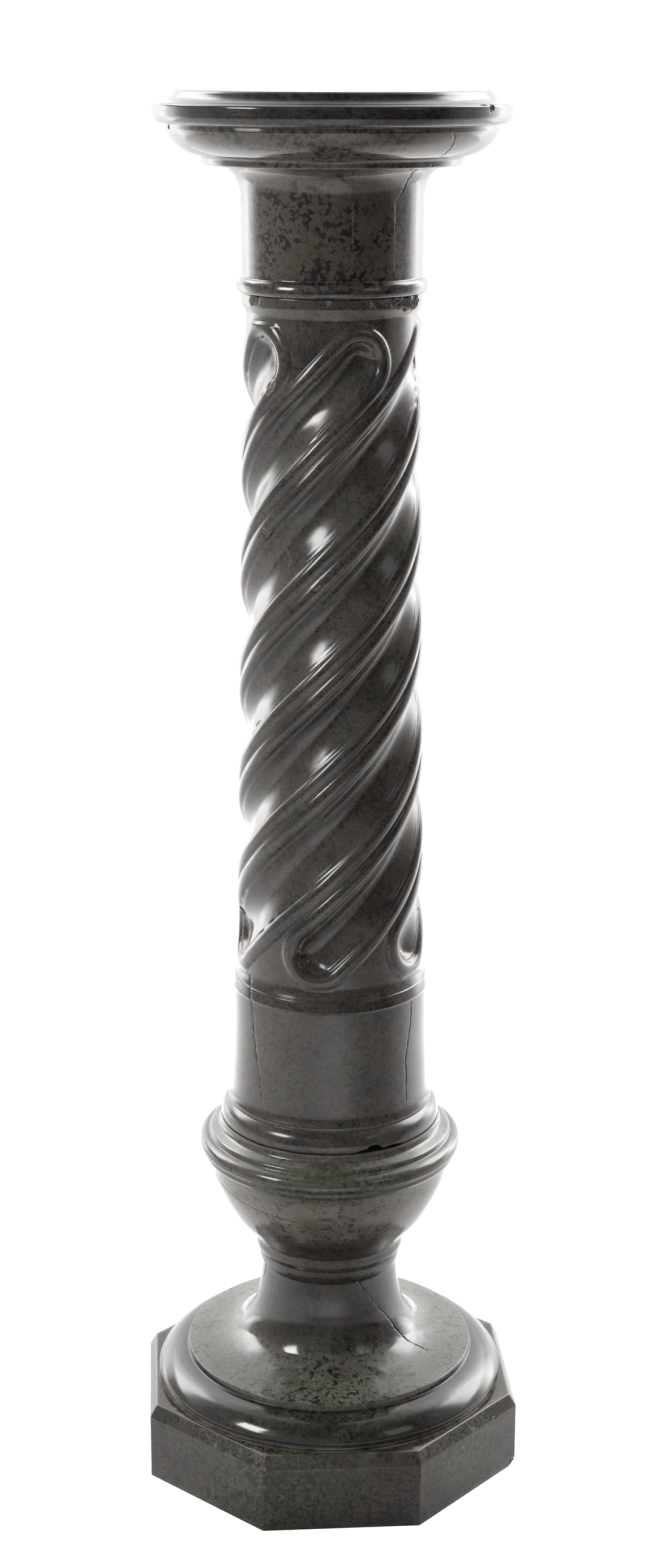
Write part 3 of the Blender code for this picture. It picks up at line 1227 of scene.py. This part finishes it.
PLINTH_JOINT = Seam(0.1415, 0.0638, 0.0030)
CUP_ZONES = (Zone(0.272, 0.294, 0.30), Zone(0.209, 0.264, 0.76, (0.160, 0.140, 0.115), 0.014))
FOOT_ZONES = (
    Zone(0.088, 0.112, 0.42),
    Zone(0.060, 0.0895, 0.80, (0.009, 0.010, 0.007)),
    Zone(0.112, 0.178, 0.5, (0.010, 0.008, 0.007)),
)


def capital() -> Moulding:
    """Slab, rim band, ovolo, fillet, neck and astragal."""
    turns = turned(
        (0.1080, 1.1000), (0.1176, 1.1000, 0.0010), (0.1192, 1.0985, 0.0008), (0.1204, 1.0965),
        (0.1226, 1.0938), (0.1260, 1.0920), (0.1296, 1.0914, 0.0005), (0.1324, 1.0902, 0.0012),
        (0.1324, 1.0820, 0.0012), (0.1306, 1.0786), (0.1290, 1.0768, 0.0010), (0.1226, 1.0760, 0.0005),
        (0.1228, 1.0727, 0.0006), (0.1213, 1.0690), (0.1178, 1.0638), (0.1126, 1.0590), (0.1055, 1.0551),
        (0.0975, 1.0527, 0.0005), (0.0966, 1.0516, 0.0005), (0.0958, 1.0472, 0.0010), (0.0880, 1.0460),
        (0.0815, 1.0452), (0.0770, 1.0435), (0.0735, 1.0403), (0.0708, 1.0360), (0.0691, 1.0307),
        (0.0682, 1.0246), (0.0679, 1.0160), (0.0674, 0.9700), (0.0675, 0.9662, 0.0008), (0.0700, 0.9650),
        (0.0713, 0.9622), (0.0716, 0.9590), (0.0708, 0.9560), (0.0692, 0.9548),
    )
    light = Zone(0.96, 1.078, 0.45, (0.100, 0.074, 0.058))
    shade = Zone(1.0775, 1.2, 0.70, (0.010, 0.009, 0.009))
    damage = Damage(
        chips=(
            Chip(54.3, 0.1324, 1.0885, 0.0045, 0.0026, 0.0016, 12.0),
            Chip(50.0, 0.1310, 1.0905, 0.0050, 0.0012, 0.0008),
            Chip(-78.0, 0.1228, 1.0740, 0.0030, 0.0020, 0.0012),
        ),
        cracks=(
            Crack(((40.0, 0.1235, 1.0725), (41.2, 0.1214, 1.0693), (42.0, 0.1166, 1.0625), (42.0, 0.1053, 1.0550))),
            Crack(((43.0, 0.0960, 1.0490), (44.1, 0.0800, 1.0448), (46.7, 0.0734, 1.0402), (44.0, 0.0700, 1.0330))),
            Crack(((44.0, 0.0700, 1.0330), (39.0, 0.0682, 1.0220)), 0.0005, 0.0003),
            Crack(((37.4, 0.0680, 1.0230), (38.2, 0.0674, 0.9730)), 0.00045, 0.0001, 0.0004, Break.RAW),
            Crack(((8.6, 0.0680, 1.0225), (9.0, 0.0674, 0.9742)), 0.0003, 0.0001, 0.0002, Break.RAW),
        ),
    )
    stone = Marble("capital_marble", blotches=0.9, cover=1.9, roughness=0.10, lathe=2.5, zones=(light, shade))
    return Moulding("capital", turns, stone, damage)


def cup() -> Moulding:
    """Ogee, line, torus, fillets, bowl and bead."""
    turns = turned(
        (0.0840, 0.2937), (0.0884, 0.2937, 0.0005), (0.0887, 0.2915), (0.0903, 0.2880), (0.0940, 0.2858),
        (0.0972, 0.2838), (0.0982, 0.2810, 0.0007), (0.0988, 0.2804, 0.0004), (0.1016, 0.2797),
        (0.1046, 0.2775), (0.1062, 0.2744), (0.1065, 0.2712, 0.0010), (0.1058, 0.2700, 0.0005),
        (0.1034, 0.2672, 0.0005), (0.1032, 0.2640, 0.0006), (0.1012, 0.2615, 0.0005), (0.0985, 0.2550),
        (0.0940, 0.2410), (0.0868, 0.2250), (0.0774, 0.2090), (0.0690, 0.1988), (0.0642, 0.1930),
        (0.0609, 0.1885, 0.0006), (0.0606, 0.1860), (0.0604, 0.1815), (0.0590, 0.1769),
    )
    olive = ((-0.01, -0.095, 0.282, 0.075),)
    line = (
        (-76.0, 0.0975, 0.2510), (-69.5, 0.0960, 0.2465), (-58.3, 0.0953, 0.2448), (-45.1, 0.0940, 0.2409),
        (-33.0, 0.0928, 0.2380), (-18.6, 0.0917, 0.2355),
    )
    damage = Damage(cracks=(Crack(line, 0.0006, 0.0005),))
    joint = Seam(0.0888, 0.2930, 0.0022, (0.10, 0.075, 0.050))
    look = {"blotches": 0.6, "cover": 0.5, "speckle": 0.5}
    stone = Marble("cup_marble", olive_near=olive, zones=CUP_ZONES, seams=(joint,), **look)
    return Moulding("cup", turns, stone, damage)


def foot() -> Moulding:
    """Band, waisted neck, disc edge, torus and fillet."""
    turns = turned(
        (0.0560, 0.1766), (0.0584, 0.1766, 0.0006), (0.0580, 0.1730), (0.0568, 0.1672, 0.0006),
        (0.0558, 0.1655), (0.0554, 0.1600), (0.0562, 0.1480), (0.0585, 0.1350), (0.0625, 0.1210),
        (0.0705, 0.1080), (0.0765, 0.1030), (0.0840, 0.0990), (0.0930, 0.0962), (0.1030, 0.0942),
        (0.1120, 0.0926), (0.1175, 0.0915, 0.0006), (0.1180, 0.0860, 0.0005), (0.1190, 0.0857, 0.0004),
        (0.1230, 0.0850), (0.1280, 0.0835), (0.1325, 0.0812), (0.1365, 0.0780), (0.1400, 0.0742),
        (0.1425, 0.0700), (0.1412, 0.0682), (0.1393, 0.0672, 0.0005), (0.1404, 0.0655, 0.0004),
        (0.1406, 0.0638),
    )
    olive = ((-0.01, -0.115, 0.085, 0.085),)
    right = (
        (20.4, 0.0561, 0.1662), (27.0, 0.0560, 0.1560), (35.1, 0.0569, 0.1434), (50.1, 0.0613, 0.1242),
        (55.9, 0.0715, 0.1069), (59.2, 0.0823, 0.0998), (60.0, 0.0900, 0.0970),
    )
    left = ((-80.0, 0.0582, 0.1746), (-71.1, 0.0573, 0.1693), (-74.0, 0.0560, 0.1600), (-81.1, 0.0560, 0.1494))
    stains = (Stain(tuple(polar(25.6, 0.1232, 0.0849)), 0.0045, (0.085, 0.032, 0.014)),)
    look = {"roughness": 0.10, "blotches": 0.8, "cover": 0.8}
    stone = Marble("foot_marble", olive_near=olive, stains=stains, zones=FOOT_ZONES, seams=(PLINTH_JOINT,), **look)
    damage = Damage(cracks=(Crack(right, 0.0007, 0.0006), Crack(left, 0.0006, 0.0006)))
    return Moulding("foot", turns, stone, damage, step=0.0014)


def shaft() -> Shaft:
    """The carved shaft."""
    chips = (
        Chip(-61.0, 0.0675, 0.9515, 0.0075, 0.0045, 0.0022, 20.0),
        Chip(-6.4, 0.0675, 0.9515, 0.0028, 0.0024, 0.0010),
        Chip(20.9, 0.0676, 0.9505, 0.0045, 0.0022, 0.0007, -40.0),
        Chip(31.0, 0.0675, 0.9525, 0.0065, 0.0030, 0.0014, -15.0),
        Chip(40.0, 0.0675, 0.9510, 0.0080, 0.0045, 0.0024, -20.0),
        Chip(50.0, 0.0675, 0.9500, 0.0090, 0.0055, 0.0036, -8.0),
        Chip(61.0, 0.0675, 0.9500, 0.0075, 0.0060, 0.0026, 25.0),
        Chip(-46.0, 0.0675, 0.8885, 0.0070, 0.0030, 0.0011, 48.0),
        Chip(-49.8, 0.0687, 0.7806, 0.0042, 0.0036, 0.0014),
        Chip(-63.9, 0.0660, 0.6294, 0.0030, 0.0020, 0.0010, 45.0),
        Chip(-12.2, 0.0698, 0.7436, 0.0032, 0.0014, 0.0008, 45.0),
        Chip(-93.7, 0.0700, 0.4658, 0.0030, 0.0040, 0.0022),
        Chip(28.5, 0.0870, 0.3035, 0.0150, 0.0072, 0.0009, 0.0, Break.RUBBED),
        # These dark chips break the base bead's lower edge; their near-black colour is painted shade in the holes.
        Chip(20.0, 0.0880, 0.2945, 0.0065, 0.0050, 0.0060, -4.0, Break.DARK),
        Chip(14.0, 0.0878, 0.2940, 0.0085, 0.0020, 0.0050, 12.0, Break.DARK),
        Chip(30.0, 0.0878, 0.2940, 0.0110, 0.0016, 0.0030, 0.0, Break.DARK),
    )
    bruise = ((-47.0, 0.0670, 0.7760), (-42.5, 0.0630, 0.7720), (-38.0, 0.0612, 0.7665), (-35.5, 0.0606, 0.7600),
              (-36.0, 0.0606, 0.7565))
    collar = ((18.5, 0.0676, 0.9535), (20.9, 0.0676, 0.9480), (26.0, 0.0668, 0.9440), (30.2, 0.0650, 0.9412))
    beside = ((24.0, 0.0676, 0.9530), (22.5, 0.0676, 0.9480), (25.0, 0.0670, 0.9445))
    left = ((-64.0, 0.0730, 0.4250), (-57.1, 0.0781, 0.4090), (-54.2, 0.0776, 0.3818), (-51.9, 0.0780, 0.3627),
            (-48.7, 0.0787, 0.3445), (-47.3, 0.0793, 0.3292))
    right = ((52.0, 0.0776, 0.4063), (50.8, 0.0776, 0.3869), (46.6, 0.0780, 0.3620), (46.1, 0.0795, 0.3251))
    cracks = (
        Crack(bruise, 0.0009, 0.0005, 0.0010, Break.RAW),
        Crack(collar, 0.0006, 0.0005),
        Crack(beside, 0.0005, 0.0004),
        Crack(left, 0.0006, 0.0006, 0.0009),
        Crack(right, 0.0006, 0.0006, 0.0007),
    )
    return Shaft(Marble("shaft_marble", blotches=0.55, redness=0.5, roughness=0.17, lathe=0.0), Damage(chips, cracks))


def plinth() -> Plinth:
    """The octagonal slab."""
    olive = ((-0.06, -0.15, 0.058, 0.10), (0.11, -0.11, 0.055, 0.05))
    stains = (Stain(tuple(polar(22.4, 0.1613, 0.0558)), 0.0050, (0.042, 0.030, 0.016)),)
    look = {"roughness": 0.15, "blotches": 0.7, "cover": 0.6, "lathe": 0.0, "cloud": (0.066, 0.056, 0.048)}
    stone = Marble("plinth_marble", olive_near=olive, stains=stains, seams=(PLINTH_JOINT,), **look)
    chips = (
        Chip(-22.9, 0.1624, 0.0528, 0.0035, 0.0050, 0.0016),
        Chip(-24.7, 0.1580, 0.0600, 0.0030, 0.0025, 0.0010),
        Chip(67.0, 0.1625, 0.0020, 0.0070, 0.0040, 0.0030),
        Chip(112.5, 0.1625, 0.0530, 0.0050, 0.0040, 0.0022),
        Chip(48.0, 0.1510, 0.0545, 0.0040, 0.0014, 0.0008),
        Chip(57.0, 0.1540, 0.0545, 0.0030, 0.0012, 0.0007),
    )
    vein = ((-45.6, 0.1471, 0.0597), (-34.4, 0.1531, 0.0439), (-24.2, 0.1609, 0.0245))
    return Plinth(stone, Damage(chips, (Crack(vein, 0.0007, 0.0001, 0.0016, Break.RAW),)))


def main() -> None:
    """Builds the column from the floor up, then the studio."""
    logging.basicConfig(level=logging.INFO, format="%(message)s")
    for piece in (plinth(), foot(), cup(), shaft(), capital()):
        piece.build()
    Studio().build()


if __name__ == "__main__":
    main()
